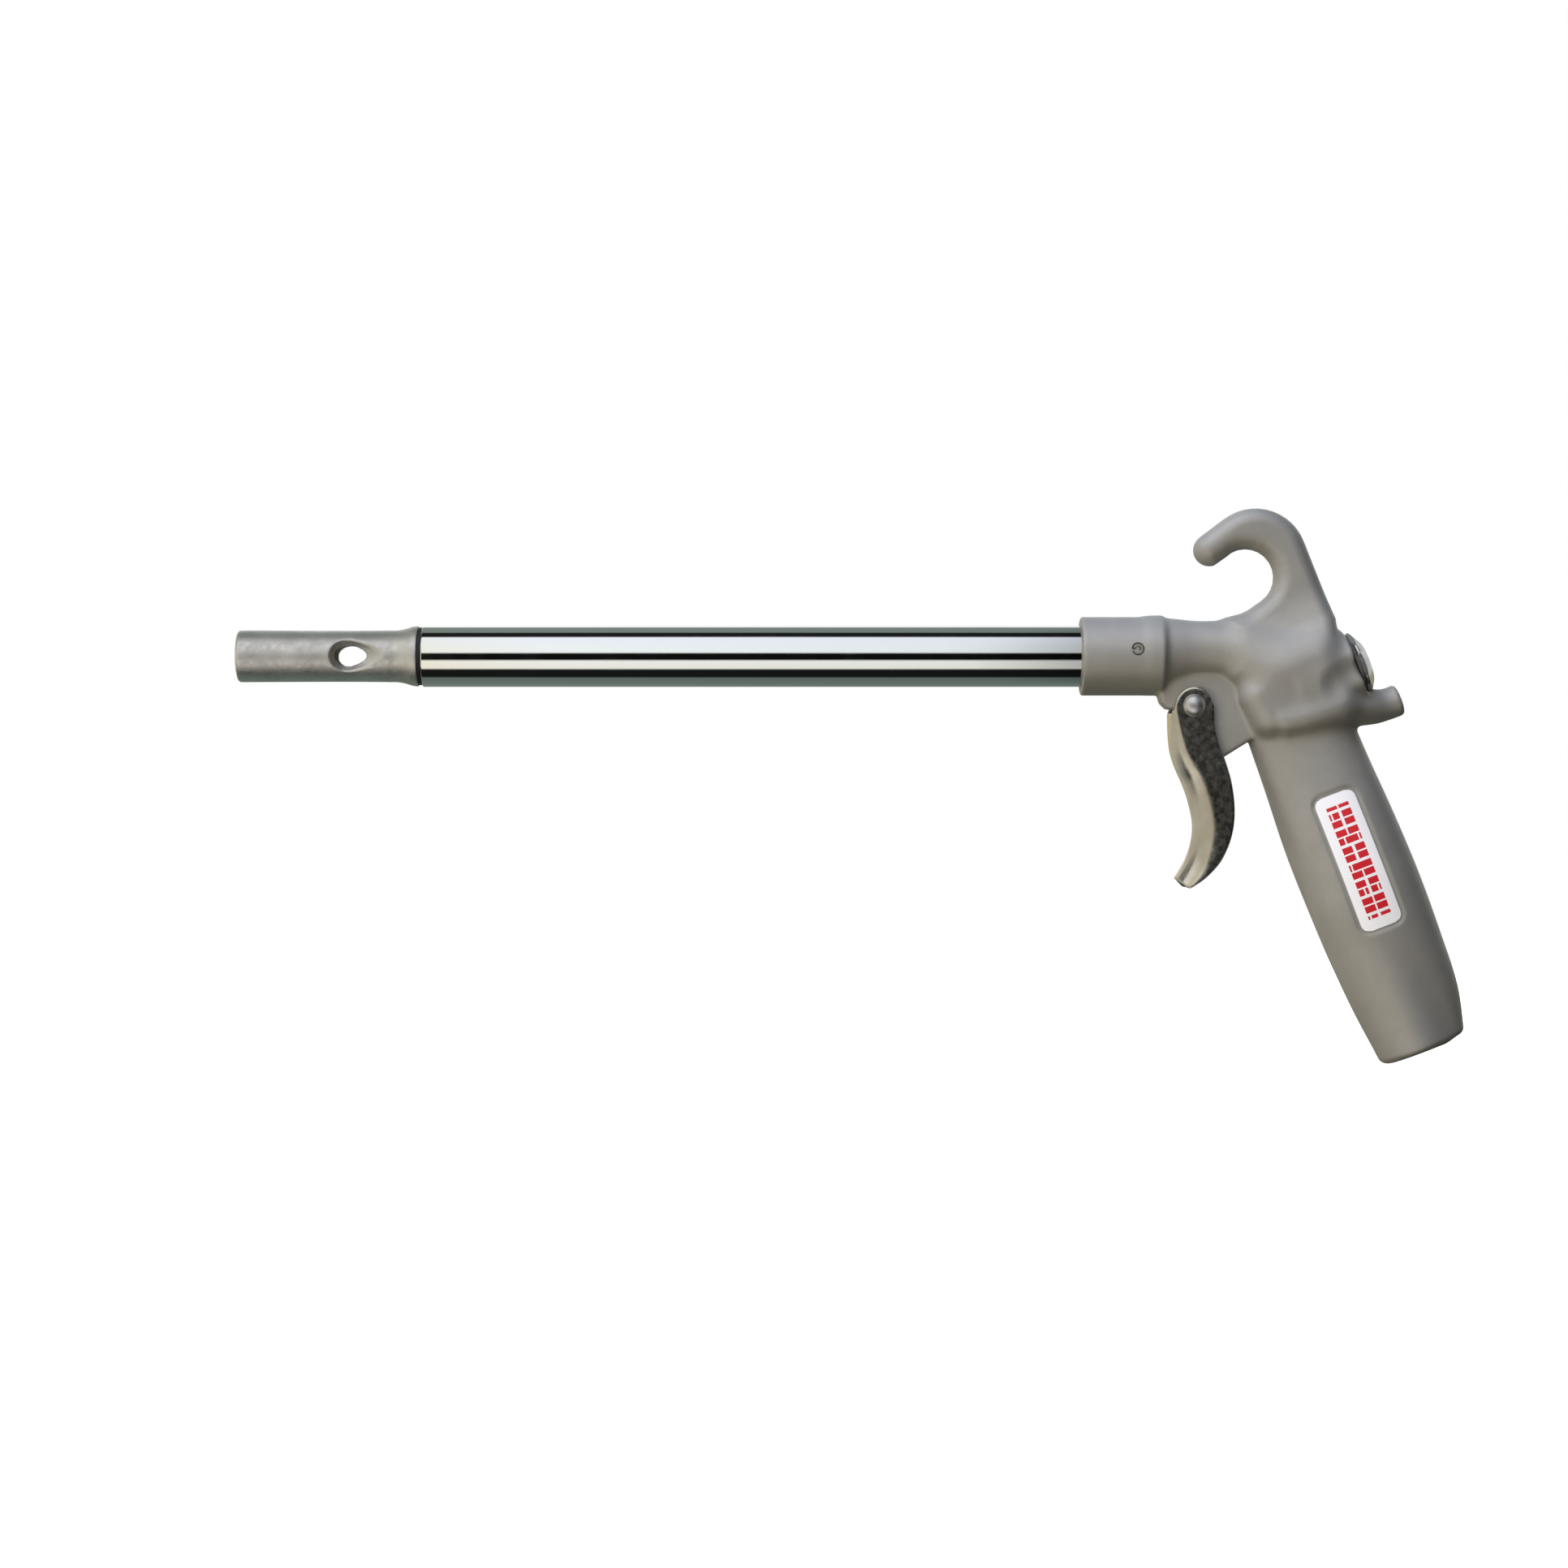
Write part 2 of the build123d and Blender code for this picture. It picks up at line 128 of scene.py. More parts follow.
GRIP_MIDDLE = [(0, -0.5), (20, -0.55), (35, -0.45), (50, -0.15), (65, 0.0), (78, 0.2), (GRIP_END + 1, -0.2)]
GRIP_DEPTH = [(0, 11.9), (20, 12.5), (35, 13.25), (50, 13.4), (65, 13.0), (78, 12.1), (GRIP_END + 1, 9.85)]
GRIP_WIDTH = [(0, 7.0), (14, 7.5), (30, 9.2), (48, 10.15), (62, 9.2), (76, 7.0), (GRIP_END + 1, 5.4)]
FULLNESS = 2.35          # exponent of the grip's oval: 2 is an ellipse


def grip_field(along, y, down):
    """Distance outside the grip's oval, whose size changes on the way down."""
    place = np.clip(down, 0, GRIP_END + 1)
    middle, depth, width = (through(knots, place) for knots in (GRIP_MIDDLE, GRIP_DEPTH, GRIP_WIDTH))
    u, v = np.abs(along - middle) / depth, np.abs(y) / width
    ring = (u ** FULLNESS + v ** FULLNESS + 1e-9) ** (1 / FULLNESS)
    steep = np.hypot(u ** (FULLNESS - 1) / depth, v ** (FULLNESS - 1) / width) * ring ** (1 - FULLNESS)
    return (ring - 1) / np.maximum(steep, 0.02)


def recess(along, down):
    """1 inside the label's shallow recess, falling to 0 over its cast edge."""
    half_width, half_length = (half + RECESS_MARGIN for half in LABEL_HALF)
    corner = LABEL_CORNER + RECESS_MARGIN
    u, v = np.abs(along) - half_width + corner, np.abs(down - LABEL_DOWN) - half_length + corner
    gap = np.minimum(np.maximum(u, v), 0) + np.hypot(np.maximum(u, 0), np.maximum(v, 0)) - corner
    t = np.clip(0.5 - gap / 0.9, 0, 1)
    return t * t * (3 - 2 * t)


NECK_RISE = [(12, 0.3), (COLLAR_END, 0.7), (21, 1.05), (27, 1.4), (34, 1.1), (46, -2.6), (57, -4)]
NECK_GIRTH = [
    (12, 8.1), (COLLAR_END, 8.25), (21, 7.7), (27, 6.8), (32, 6.95), (38, 8.1), (46, 8.8), (57, 8.0),
]
BOWL, TIP, CROWN = (38.3, 18.3), (30.0, 24.65), (40.45, 22.2)
HOOK_OUTLINE = (
    [(35.5, -4.0), (34.2, 8.0), (37.2, 9.5)] + arc(BOWL, 6.55, -55, 135) + arc(TIP, 3.75, -75, -235)
    + arc(CROWN, 12.0, 128, 21) + [head_point(16.0, 12.0), head_point(15.2, 9.0), head_point(10.0, -3.0)]
)
HOOK_THICKNESS = [(-4, 4.0), (2, 6.2), (7, 7.4), (10, 7.1), (14, 5.9), (19, 4.85), (24, 4.7), (60, 4.7)]
HEAD_CORE = [(-7.0, 1.5), (-2.5, 4.0), (8.2, 4.6), (8.6, -6.1), (1.0, -5.9), (-6.2, -4.0)]
SPUR_CENTRE = [(-9, -6.6), (0, -7.0), (8, -7.6), (13, -8.6), (17, -10.0), (20, -10.85), (25, -10.9)]
SPUR_HEIGHT = [(-9, 3.0), (0, 4.4), (8, 4.9), (13, 4.9), (17, 4.4), (20, 3.75), (25, 3.7)]
SPUR_WIDTH = [(-9, 7.4), (0, 8.9), (8, 8.6), (13, 7.2), (17, 5.2), (20, 3.85), (25, 3.7)]
WEB_OUTLINE = [
    (17.2, -4.0), (18.0, -9.3), (18.5, -10.9), (19.8, -12.2), (21.6, -12.5), (23.6, -13.2),
    (26.4, -17.6), (28.6, -22.0), (31.4, -24.3), (39.4, -19.3), (46.0, -14.0), (44.0, -4.0),
]


def casting(x, y, z):
    """Distance outside the casting before it is bored."""
    along, up = head_frame(x, z)
    off_axis = np.hypot(y, z)
    collar = round_bar(COLLAR_RADIUS, off_axis, x, 0, COLLAR_END + 0.4, 0.45)
    rise, girth = through(NECK_RISE, x), through(NECK_GIRTH, x)
    neck = slab(np.hypot(y, z - rise) - girth, x - 35, 22, 3)
    head = slab(outline_distance(HEAD_CORE, along, up) - 4.8, y, 9.3, 4.6)
    hook = slab(outline_distance(HOOK_OUTLINE, x, z), y, through(HOOK_THICKNESS, up), 3.6)
    web = slab(outline_distance(WEB_OUTLINE, x, z), y, WEB_HALF, 0.7)
    boss = round_bar(8.7, np.hypot(y, up), along, 2, BOSS_BACK, 0.6)
    centre, height, width = (through(knots, along) for knots in (SPUR_CENTRE, SPUR_HEIGHT, SPUR_WIDTH))
    oval = (np.hypot(y / width, (up - centre) / height) - 1) * np.minimum(width, height)
    spur = slab(oval, along - 9.3, 14.3, 0.9)
    grip = grip_field(along, y, -up)
    inlet = round_bar(8.3, np.hypot(y, along + 1.7), -up, 52, GRIP_END, 1.2)
    body = blend(collar, neck, 1.8)
    body = blend(body, blend(head, hook, 5.0), 3.5)
    body = blend(body, blend(boss, spur, 1.8), 2.6)
    run = np.clip((along - 10.5) * 0.97 + (up + 2.0) * 0.24, 0, 14)
    hollow = np.sqrt(
        (along - 10.5 - 0.97 * run) ** 2 + (up + 2.0 - 0.24 * run) ** 2 + (np.abs(y) - 12.3 + 0.2 * run) ** 2
    )
    body = trim(body, hollow - 3.5, 2.2)
    handle = np.maximum(slab(grip, -up - GRIP_END / 2, GRIP_END / 2, 1.3), -up - GRIP_END)
    handle = blend(handle, inlet, 2.2)
    handle = handle + np.where(y < 0, RECESS_DEPTH * recess(along, -up), 0)
    body = blend(body, handle, 1.6)
    return blend(body, web, 0.9)


def skin(field, low, high, step):
    """Vertices and quads on the zero surface of a field: one vertex in each cell that the surface
    crosses, then slid along the gradient until it lies on the surface."""
    axes = [np.arange(a, b + step, step) for a, b in zip(low, high)]
    value = field(*np.meshgrid(*axes, indexing="ij", sparse=True))
    inside = value < 0
    shape = tuple(n - 1 for n in value.shape)
    total, count, loops = np.zeros((np.prod(shape), 3)), np.zeros(np.prod(shape)), []
    for axis in range(3):
        one, two = (axis + 1) % 3, (axis + 2) % 3
        before, after = [slice(None)] * 3, [slice(None)] * 3
        before[axis], after[axis] = slice(0, -1), slice(1, None)
        crossed = inside[tuple(before)] != inside[tuple(after)]
        start, end = value[tuple(before)][crossed], value[tuple(after)][crossed]
        at = np.argwhere(crossed)
        place = at.astype(float)
        place[:, axis] += start / (start - end)
        ring = []
        for back_one, back_two in ((0, 0), (1, 0), (1, 1), (0, 1)):
            cell = at.copy()
            cell[:, one] -= back_one
            cell[:, two] -= back_two
            flat = np.ravel_multi_index(cell.T, shape)
            ring.append(flat)
            count += np.bincount(flat, minlength=len(count))
            for k in range(3):
                total[:, k] += np.bincount(flat, weights=place[:, k], minlength=len(count))
        ring = np.stack(ring, axis=1)
        ring[start > 0] = ring[start > 0][:, ::-1]
        loops.append(ring)
    used = count > 0
    number = np.cumsum(used) - 1
    points = total[used] / count[used, None] * step + np.array(low)
    nudge = 0.02
    for _ in range(4):
        here = field(*points.T)
        changes = [field(*(points + d).T) - field(*(points - d).T) for d in np.eye(3) * nudge]
        slope = np.stack(changes, axis=1) / (2 * nudge)
        move = slope * (here / np.maximum((slope ** 2).sum(axis=1), 0.25))[:, None]
        points -= np.clip(move, -step / 2, step / 2)
    return points, number[np.concatenate(loops)]


def make_piece(name, points, faces, sharp=32):
    """A mesh object from points in millimetres, shaded smooth except across sharp edges."""
    mesh = bpy.data.meshes.new(name)
    mesh.from_pydata((np.asarray(points) * 0.001).tolist(), [], [list(face) for face in faces])
    mesh.validate()
    mesh.shade_smooth()
    mesh.set_sharp_from_angle(angle=radians(sharp))
    piece = bpy.data.objects.new(name, mesh)
    bpy.context.scene.collection.objects.link(piece)
    return piece


def placed(points, origin, axis):
    """Points about Z moved to stand on an origin with Z along an axis, all in millimetres."""
    axis = Vector(axis).normalized()
    side = Vector((0, 1, 0)) if abs(axis.y) < 0.9 else Vector((1, 0, 0))
    turn = np.array(Matrix((side.cross(axis), side, axis)).transposed())
    return np.asarray(points) @ turn.T + np.asarray(origin)


def turned(profile, segments=96):
    """Points and faces of a closed form turned about Z from (radius, height) points that start
    and end on the axis, or that run right round a ring's section."""
    ring = profile[0][0] > 0
    turns = np.linspace(0, 2 * pi, segments, endpoint=False)
    points, rows = [], []
    for radius, height in profile:
        around = [0.0] if radius == 0 else turns
        rows.append(range(len(points), len(points) + len(around)))
        points += [(radius * cos(t), radius * sin(t), height) for t in around]
    faces = []
    for low, high in zip(rows, rows[1:] + rows[:1] if ring else rows[1:]):
        for k in range(segments):
            below = [low[k % len(low)], low[(k + 1) % len(low)]]
            above = [high[(k + 1) % len(high)], high[k % len(high)]]
            faces.append(list(dict.fromkeys(below + above)))
    return np.array(points), faces


def eased(profile, radius=0.3, steps=4, closed=False):
    """A profile with its corners rounded."""
    corners = [Vector(point) for point in profile]
    out = []
    for k, corner in enumerate(corners):
        if not closed and k in (0, len(corners) - 1):
            out.append(tuple(corner))
            continue
        before, after = corners[k - 1] - corner, corners[(k + 1) % len(corners)] - corner
        reach = min(radius, before.length / 2.2, after.length / 2.2)
        start, end = corner + before.normalized() * reach, corner + after.normalized() * reach
        for t in np.linspace(0, 1, steps + 1):
            out.append(tuple(start * (1 - t) ** 2 + corner * 2 * t * (1 - t) + end * t ** 2))
    return out


def drill(piece, points, faces, action="DIFFERENCE"):
    """Takes a closed form out of a piece, or keeps what both share."""
    tool = make_piece("tool", points, faces)
    cut = piece.modifiers.new("bore", "BOOLEAN")
    cut.operation, cut.solver, cut.object = action, "MANIFOLD", tool
    seen = piece.evaluated_get(bpy.context.evaluated_depsgraph_get())
    mesh = bpy.data.meshes.new_from_object(seen)
    piece.modifiers.clear()
    bpy.data.objects.remove(tool)
    mesh.name = piece.name
    piece.data = mesh
    mesh.shade_smooth()
    mesh.set_sharp_from_angle(angle=radians(32))


def bar(radius, start, end, segments=96):
    return turned([(0, start), (radius, start), (radius, end), (0, end)], segments)


def pipe_tap(root, crest, pitch, start, end):
    """A tap for a pipe thread: a closed form whose side winds between root and crest."""
    segments, rows = 60, int((end - start) / pitch * 8)
    points, faces = [(0, 0, start)], []
    for row in range(rows + 1):
        height = start + (end - start) * row / rows
        for k in range(segments):
            turn = 2 * pi * k / segments
            phase = (height / pitch - k / segments) % 1
            tooth = np.clip(1.25 - abs(phase - 0.5) * 4.2, 0, 1)
            runout = np.clip((height - start) / 3.0, 0, 1)
            countersink = np.clip((height - end + 1.6), 0, 2) * 0.9
            radius = max(root + (crest - root) * tooth * runout, root + countersink)
            points.append((radius * cos(turn), radius * sin(turn), height))
    points.append((0, 0, end))
    for k in range(segments):
        nxt = (k + 1) % segments
        faces.append([0, 1 + nxt, 1 + k])
        for row in range(rows):
            low = 1 + row * segments
            faces.append([low + k, low + nxt, low + segments + nxt, low + segments + k])
        top = 1 + rows * segments
        faces.append([top + k, top + nxt, len(points) - 1])
    return np.array(points), faces


def linear(code):
    """An sRGB hex colour as linear RGBA."""
    parts = [int(code[k:k + 2], 16) / 255 for k in (0, 2, 4)]
    return [c / 12.92 if c <= 0.04045 else ((c + 0.055) / 1.055) ** 2.4 for c in parts] + [1.0]


def add(tree, kind, inputs=None, **settings):
    """A node in a tree, with its settings, and its inputs as values or as links from outputs."""
    made = tree.nodes.new(kind)
    for key, value in settings.items():
        setattr(made, key, value)
    for key, value in (inputs or {}).items():
        if isinstance(value, bpy.types.NodeSocket):
            tree.links.new(value, made.inputs[key])
        else:
            made.inputs[key].default_value = value
    return made


def finish_of(name, build, **constants):
    """A material: build adds its nodes and returns the shader's linked inputs."""
    material = bpy.data.materials.new(name)
    material.use_nodes = True
    tree = material.node_tree
    tree.nodes.clear()
    place = add(tree, "ShaderNodeTexCoord").outputs["Object"]
    inputs = {key.replace("_", " "): value for key, value in constants.items()}
    inputs.update(build(tree, place))
    shader = add(tree, "ShaderNodeBsdfPrincipled", inputs)
    add(tree, "ShaderNodeOutputMaterial", {"Surface": shader.outputs["BSDF"]})
    return material


def shades(tree, factor, *stops):
    """A ramp from one shade to the next, as (place, value or hex colour) stops."""
    ramp = add(tree, "ShaderNodeValToRGB", {"Fac": factor})
    elements = ramp.color_ramp.elements
    while len(elements) < len(stops):
        elements.new(0.5)
    for element, (place, shade) in zip(elements, stops):
        element.position = place
        element.color = linear(shade) if isinstance(shade, str) else (shade, shade, shade, 1)
    return ramp.outputs["Color"]


def wear(piece, node, body, material):
    """The piece stands for that node, rides its body, and takes the finish."""
    piece.data.materials.clear()
    piece.data.materials.append(material)
    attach(piece, body)
    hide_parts(node)


def tumbled_casting(tree, place):
    """Satin grey: a 0.45 mm grain from tumbling over 2.4 mm dents, soft 17 mm clouds from the
    flow of the metal, and pores about 1 mm apart."""
    clouds = add(tree, "ShaderNodeTexNoise", {"Vector": place, "Scale": 60, "Detail": 4, "Roughness": 0.6})
    grain = add(tree, "ShaderNodeTexNoise", {"Vector": place, "Scale": 2200, "Detail": 3, "Roughness": 0.7})
    dents = add(tree, "ShaderNodeTexNoise", {"Vector": place, "Scale": 420, "Detail": 2})
    pores = add(tree, "ShaderNodeTexVoronoi", {"Vector": place, "Scale": 900, "Randomness": 1.0})
    colour = shades(tree, clouds.outputs["Fac"], (0.3, "a3a096"), (0.7, "b1aea4"))
    pore = shades(tree, pores.outputs["Distance"], (0.02, 0.0), (0.12, 1.0))
    rough = add(
        tree, "ShaderNodeMapRange",
        {"Value": grain.outputs["Fac"], "From Min": 0.3, "From Max": 0.7, "To Min": 0.5, "To Max": 0.64},
    )
    height = add(tree, "ShaderNodeMath", {0: grain.outputs["Fac"], 1: dents.outputs["Fac"]}, operation="ADD")
    height = add(tree, "ShaderNodeMath", {0: height.outputs[0], 1: pore, 2: 0.4}, operation="MULTIPLY_ADD")
    bump = add(tree, "ShaderNodeBump", {"Height": height.outputs[0], "Strength": 0.35, "Distance": 0.00006})
    return {"Base Color": colour, "Roughness": rough.outputs["Result"], "Normal": bump.outputs["Normal"]}


casting_finish = finish_of("tumbled_die_cast_aluminium", tumbled_casting, Metallic=0.6)
cell = 0.46
gun_body = make_piece("gun_casting", *skin(casting, (-1.5, -11.5, -96), (91, 11.5, 36), cell))
points, faces = bar(7.13, -2, 18.2)               # the tube's socket
drill(gun_body, placed(points, (0, 0, 0), (1, 0, 0)), faces)
# Along the valve's axis: plug thread, valve chamber, seat and delivery chamber, stem's clearance.
for radius, start, end in ((6.35, 9.0, 20.0), (5.95, -4.5, 9.2), (3.5, -13.0, -4.3), (2.0, -15.8, -12.8)):
    points, faces = bar(radius, start, end)
    drill(gun_body, placed(points, CROSSING, ALONG), faces)
points, faces = bar(2.8, -36.0, -15.4, 64)        # the stem's guide, out through the web
drill(gun_body, placed(points, CROSSING, ALONG), faces)
points, faces = bar(4.3, 0, GRIP_END - 15.5)      # the supply bore down the grip
drill(gun_body, placed(points, CROSSING, -UP), faces)
points, faces = pipe_tap(5.6, 6.55, 1.411, GRIP_END - 16, GRIP_END + 0.3)
drill(gun_body, placed(points, CROSSING, -UP), faces)
for radius, x, z in ((1.5, 12.5, 1.4), (1.6, 25.8, -11.5)):      # lock pin and rivet
    points, faces = bar(radius, -12, 12, 48)
    drill(gun_body, placed(points, (x, 0, z), (0, 1, 0)), faces)
wear(gun_body, "gun_body", "gun", casting_finish)

# ---------------------------------------------------------------------------------------------
# Extension tube: a drawn steel tube, buffed along its length and bright chrome plated, with both
# ends faced and deburred. It is pushed into the collar's bore against a seal and pinned there.

TUBE_RADIUS, TUBE_BORE = 7.1, 5.7
TUBE_START, TUBE_END = 16.98, -152.4


def lathe(name, profile, origin=(0, 0, 0), axis=(1, 0, 0), segments=128, sharp=32):
    points, faces = turned(profile, segments)
    return make_piece(name, placed(points, origin, axis), faces, sharp)


def bright_chrome(tree, place):
    """A mirror with the draw lines, 0.7 mm apart and 30 mm long, and the 6 mm buffing haze that
    chrome keeps from the steel."""
    stretch = add(tree, "ShaderNodeMapping", {"Vector": place, "Scale": (30, 1500, 1500)})
    lines = add(tree, "ShaderNodeTexNoise", {"Vector": stretch.outputs["Vector"], "Scale": 1, "Detail": 3})
    haze = add(tree, "ShaderNodeTexNoise", {"Vector": place, "Scale": 160, "Detail": 3})
    rough = add(
        tree, "ShaderNodeMapRange",
        {"Value": haze.outputs["Fac"], "From Min": 0.35, "From Max": 0.7, "To Min": 0.05, "To Max": 0.1},
    )
    bump = add(
        tree, "ShaderNodeBump", {"Height": lines.outputs["Fac"], "Strength": 0.25, "Distance": 0.000004}
    )
    return {"Roughness": rough.outputs["Result"], "Normal": bump.outputs["Normal"]}


chrome_finish = finish_of("bright_chrome_plate", bright_chrome, Metallic=1.0, Base_Color=linear("d9dcda"))
tube_section = [
    (TUBE_RADIUS, TUBE_END), (TUBE_RADIUS, TUBE_START), (TUBE_BORE, TUBE_START), (TUBE_BORE, TUBE_END),
]
tube = lathe("drawn_tube", eased(tube_section, 0.35, 4, closed=True), segments=160)
wear(tube, "extension_tube", "gun", chrome_finish)

# ---------------------------------------------------------------------------------------------
# Lock pin: a slotted spring pin rolled from carbon steel strip, left bright and oiled, and driven
# across the collar through the tube's wall. Its chamfered ends stand just inside the casting.

PIN_RADIUS, PIN_BORE, PIN_HALF, PIN_SLOT = 1.48, 0.75, 8.9, 20


def spring_temper(tree, place):
    """Bright oiled spring steel: pale, with a thin uneven film 2 mm across and fine rolling lines."""
    patina = add(tree, "ShaderNodeTexNoise", {"Vector": place, "Scale": 500, "Detail": 3})
    lines = add(tree, "ShaderNodeTexWave", {"Vector": place, "Scale": 3000, "Distortion": 3})
    colour = shades(tree, patina.outputs["Fac"], (0.35, "cfcdca"), (0.65, "e6e3de"))
    bump = add(
        tree, "ShaderNodeBump", {"Height": lines.outputs["Fac"], "Strength": 0.2, "Distance": 0.00002}
    )
    return {"Base Color": colour, "Normal": bump.outputs["Normal"]}


spring_finish = finish_of("oiled_spring_steel", spring_temper, Metallic=1.0, Roughness=0.5)
points, faces = [], []
rows = ((-PIN_HALF, 0.35), (-PIN_HALF + 0.7, 0), (PIN_HALF - 0.7, 0), (PIN_HALF, 0.35))
for height, chamfer in rows:
    outer = arc((0, 0), PIN_RADIUS - chamfer, PIN_SLOT - 90, 270 - PIN_SLOT, 40)
    inner = arc((0, 0), PIN_BORE, 270 - PIN_SLOT, PIN_SLOT - 90, 40)
    points += [(x, z, height) for x, z in outer + inner]
loop = len(points) // len(rows)
for row in range(len(rows) - 1):
    for k in range(loop):
        low, nxt = row * loop + k, row * loop + (k + 1) % loop
        faces.append([low, nxt, nxt + loop, low + loop])
for k in range(39):
    start = (len(rows) - 1) * loop
    faces.append([k, loop - 1 - k, loop - 2 - k, k + 1])
    faces.append([start + k, start + k + 1, start + loop - 2 - k, start + loop - 1 - k])
lock_pin = make_piece("slotted_pin", placed(points, (12.5, 0, 1.4), (0, 1, 0)), faces)
wear(lock_pin, "tube_lock_pin", "gun", spring_finish)

# ---------------------------------------------------------------------------------------------
# Safety nozzle: turned from aluminium bar with a flare up to the tube's size, then tumbled. On
# each side a ball cutter has sunk a teardrop vent that lets the air out if the tip is blocked.

NOZZLE_TIP, NOZZLE_BACK = -195.2, -153.3
NOZZLE_SIZE = [(-196, 6.0), (-160, 6.0), (-158.1, 6.03), (-156.4, 6.35), (-154.7, 6.85), (-153.0, 7.05)]
SHANK_RADIUS, SHANK_BACK = 5.68, -140.5
VENT_PLACE, VENT_RADIUS, VENT_DEPTH, VENT_RUN = -169.2, 4.15, 3.25, 6.0


def nozzle_form(x, y, z):
    """Distance outside the nozzle: barrel, shank inside the tube, bore and the two side vents."""
    off_axis = np.hypot(y, z)
    middle, half = (NOZZLE_TIP + NOZZLE_BACK) / 2, (NOZZLE_BACK - NOZZLE_TIP) / 2
    outside = off_axis - through(NOZZLE_SIZE, x)
    form = np.maximum(slab(outside, x - middle - 2, half + 2, 0.8), slab(outside, x - middle, half, 0.3))
    form = np.minimum(form, round_bar(SHANK_RADIUS, off_axis, x, NOZZLE_BACK - 3, SHANK_BACK, 0.4))
    form = trim(form, off_axis - 4.0, 0.6)
    for side in (-1, 1):
        px, py = x - VENT_PLACE, y - side * (6.0 + VENT_RADIUS - VENT_DEPTH)
        run = np.clip(px * 0.91 + py * side * 0.42, 0, VENT_RUN)
        ball = np.sqrt((px - 0.91 * run) ** 2 + (py - side * 0.42 * run) ** 2 + z ** 2)
        form = trim(form, ball - VENT_RADIUS, 0.5)
    return form


def tumbled_bar(tree, place):
    """Bright turned aluminium gone matt in the tumbler: dents about 1 mm across over faint tool
    rings, drawn coarser than the real feed so that they show, under 7 mm smudges."""
    dents = add(tree, "ShaderNodeTexNoise", {"Vector": place, "Scale": 900, "Detail": 4, "Roughness": 0.65})
    smudge = add(tree, "ShaderNodeTexNoise", {"Vector": place, "Scale": 150, "Detail": 4})
    rings = add(tree, "ShaderNodeTexWave", {"Vector": place, "Scale": 1200, "Distortion": 1.5, "Detail": 2})
    colour = shades(tree, smudge.outputs["Fac"], (0.3, "d6d6d4"), (0.7, "efefed"))
    rough = add(
        tree, "ShaderNodeMapRange",
        {"Value": dents.outputs["Fac"], "From Min": 0.3, "From Max": 0.7, "To Min": 0.42, "To Max": 0.6},
    )
    height = add(
        tree, "ShaderNodeMath", {0: rings.outputs["Fac"], 1: 0.25, 2: dents.outputs["Fac"]},
        operation="MULTIPLY_ADD",
    )
    bump = add(tree, "ShaderNodeBump", {"Height": height.outputs[0], "Strength": 0.5, "Distance": 0.00005})
    return {"Base Color": colour, "Roughness": rough.outputs["Result"], "Normal": bump.outputs["Normal"]}


nozzle_finish = finish_of("tumbled_bar_aluminium", tumbled_bar, Metallic=1.0)
cell = 0.28
nozzle = make_piece("vented_nozzle", *skin(nozzle_form, (-196, -7.6, -7.6), (-139.8, 7.6, 7.6), cell))
wear(nozzle, "safety_nozzle", "gun", nozzle_finish)

# ---------------------------------------------------------------------------------------------
# Joint ring and jet insert: a moulded nitrile ring takes up the joint between tube and nozzle,
# set in from their surface as a dark line. The jet is a brass turning pressed in the bore.


def moulded_rubber(tree, place):
    """Black rubber with a dusty bloom in specks of 1.4 mm."""
    bloom = add(tree, "ShaderNodeTexNoise", {"Vector": place, "Scale": 700, "Detail": 4})
    colour = shades(tree, bloom.outputs["Fac"], (0.35, "0f1010"), (0.75, "222322"))
    bump = add(
        tree, "ShaderNodeBump", {"Height": bloom.outputs["Fac"], "Strength": 0.4, "Distance": 0.00003}
    )
    return {"Base Color": colour, "Normal": bump.outputs["Normal"]}


def turned_metal(tree, place):
    """Tool marks of 0.4 mm and a light tarnish in 3 mm patches, over whatever metal the constants
    give."""
    tarnish = add(tree, "ShaderNodeTexNoise", {"Vector": place, "Scale": 350, "Detail": 4})
    rings = add(tree, "ShaderNodeTexNoise", {"Vector": place, "Scale": 2600, "Detail": 2})
    rough = add(
        tree, "ShaderNodeMapRange",
        {"Value": tarnish.outputs["Fac"], "From Min": 0.3, "From Max": 0.7, "To Min": 0.2, "To Max": 0.38},
    )
    bump = add(
        tree, "ShaderNodeBump", {"Height": rings.outputs["Fac"], "Strength": 0.25, "Distance": 0.00002}
    )
    return {"Roughness": rough.outputs["Result"], "Normal": bump.outputs["Normal"]}


def finish_node(node, material):
    """The carried-over node shows as it is, in this finish."""
    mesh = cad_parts[node].data
    mesh.materials.clear()
    mesh.materials.append(material)


rubber_finish = finish_of("moulded_nitrile", moulded_rubber, Roughness=0.55)
brass_finish = finish_of("turned_brass", turned_metal, Metallic=1.0, Base_Color=linear("c9a45c"))
ring_section = [(6.72, -153.28), (6.72, -152.42), (5.72, -152.42), (5.72, -153.28)]
joint_ring = lathe("joint_ring_moulding", eased(ring_section, 0.3, 4, closed=True))
wear(joint_ring, "nozzle_ring", "gun", rubber_finish)
finish_node("jet_insert", brass_finish)
finish_node("tube_seal", rubber_finish)

# ---------------------------------------------------------------------------------------------
# Trigger: pressed from 1.4 mm steel sheet and nickel plated. Its two cheeks fold back from a
# front that is tight at the pivot and opens to a full round for the fingers; the lip at the tip
# curls forward. It swings on the rivet through its two ears.

